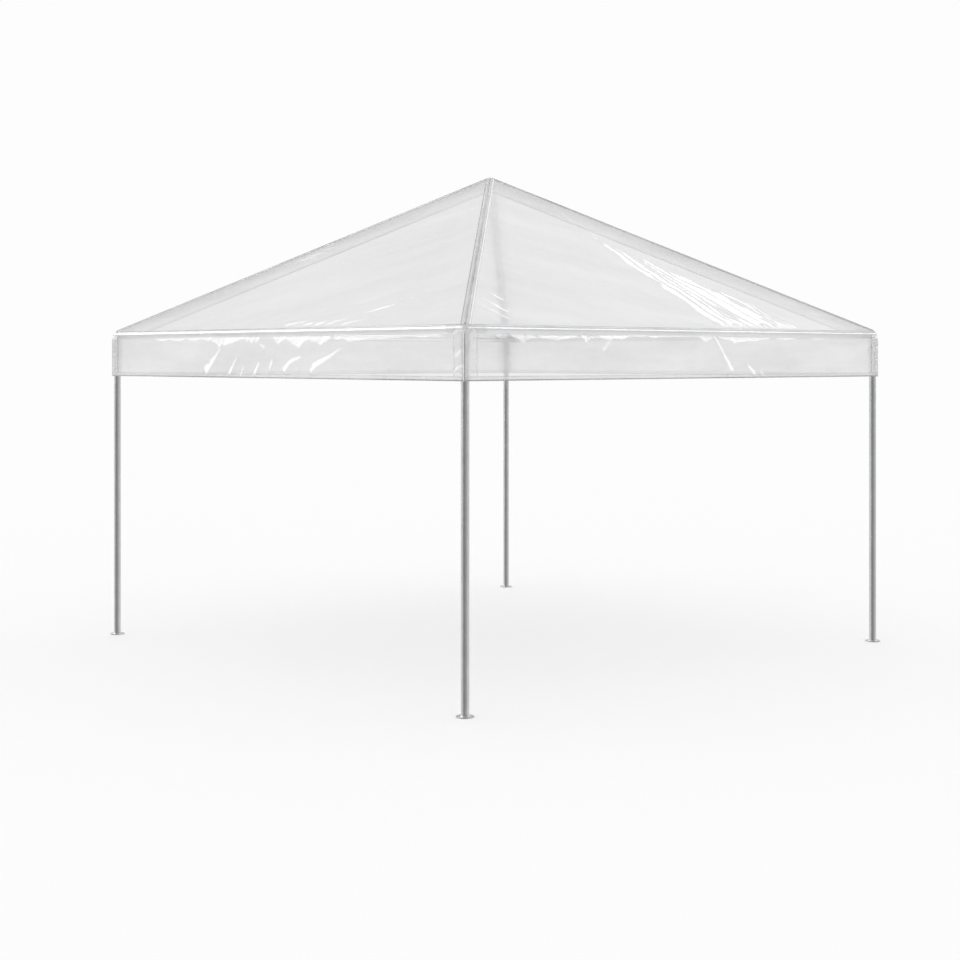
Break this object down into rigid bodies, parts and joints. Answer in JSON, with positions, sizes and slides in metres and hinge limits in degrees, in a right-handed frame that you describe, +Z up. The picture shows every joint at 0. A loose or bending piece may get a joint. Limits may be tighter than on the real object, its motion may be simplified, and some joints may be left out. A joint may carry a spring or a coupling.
{
  "type": "frame marquee tent",
  "caption": "Square frame tent: pyramid roof and short valance of clear film over round metal tube, on legs with round base plates, open on every side.",
  "frame": {"origin": "on the floor, at the middle of the tent's square plan", "axes": "+Z up, sides along X and Y; the front side faces -Y"},
  "size_m": [4.11, 4.11, 3.4419],
  "materials": {
    "aluminium_pipe": "mill finish tube, slightly brushed",
    "cast_fitting": "plain cast aluminium",
    "base_plate_steel": "galvanised steel plate",
    "clear_film": "clear flexible film, glossy, lightly creased",
    "doubled_film": "two layers of clear film, welded"
  },
  "bodies": {
    "root": {"base_plate_front_left": "base_plate_steel", "base_plate_front_right": "base_plate_steel", "base_plate_back_right": "base_plate_steel", "base_plate_back_left": "base_plate_steel", "leg_front_left": "aluminium_pipe", "leg_front_right": "aluminium_pipe", "leg_back_right": "aluminium_pipe", "leg_back_left": "aluminium_pipe", "corner_fitting_front_left": "cast_fitting", "corner_fitting_front_right": "cast_fitting", "corner_fitting_back_right": "cast_fitting", "corner_fitting_back_left": "cast_fitting", "eave_pipe_front": "aluminium_pipe", "eave_pipe_right": "aluminium_pipe", "eave_pipe_back": "aluminium_pipe", "eave_pipe_left": "aluminium_pipe", "hip_rafter_front_left": "aluminium_pipe", "hip_rafter_front_right": "aluminium_pipe", "hip_rafter_back_right": "aluminium_pipe", "hip_rafter_back_left": "aluminium_pipe", "crown_fitting": "cast_fitting", "roof_film_front": "clear_film", "roof_film_right": "clear_film", "roof_film_back": "clear_film", "roof_film_left": "clear_film", "valance_front": "clear_film", "valance_right": "clear_film", "valance_back": "clear_film", "valance_left": "clear_film", "valance_hem_front": "doubled_film", "valance_hem_right": "doubled_film", "valance_hem_back": "doubled_film", "valance_hem_left": "doubled_film", "corner_band_front_left": "doubled_film", "corner_band_front_right": "doubled_film", "corner_band_back_right": "doubled_film", "corner_band_back_left": "doubled_film", "hip_pocket_front_left": "doubled_film", "hip_pocket_front_right": "doubled_film", "hip_pocket_back_right": "doubled_film", "hip_pocket_back_left": "doubled_film"}
  },
  "joints": []
}
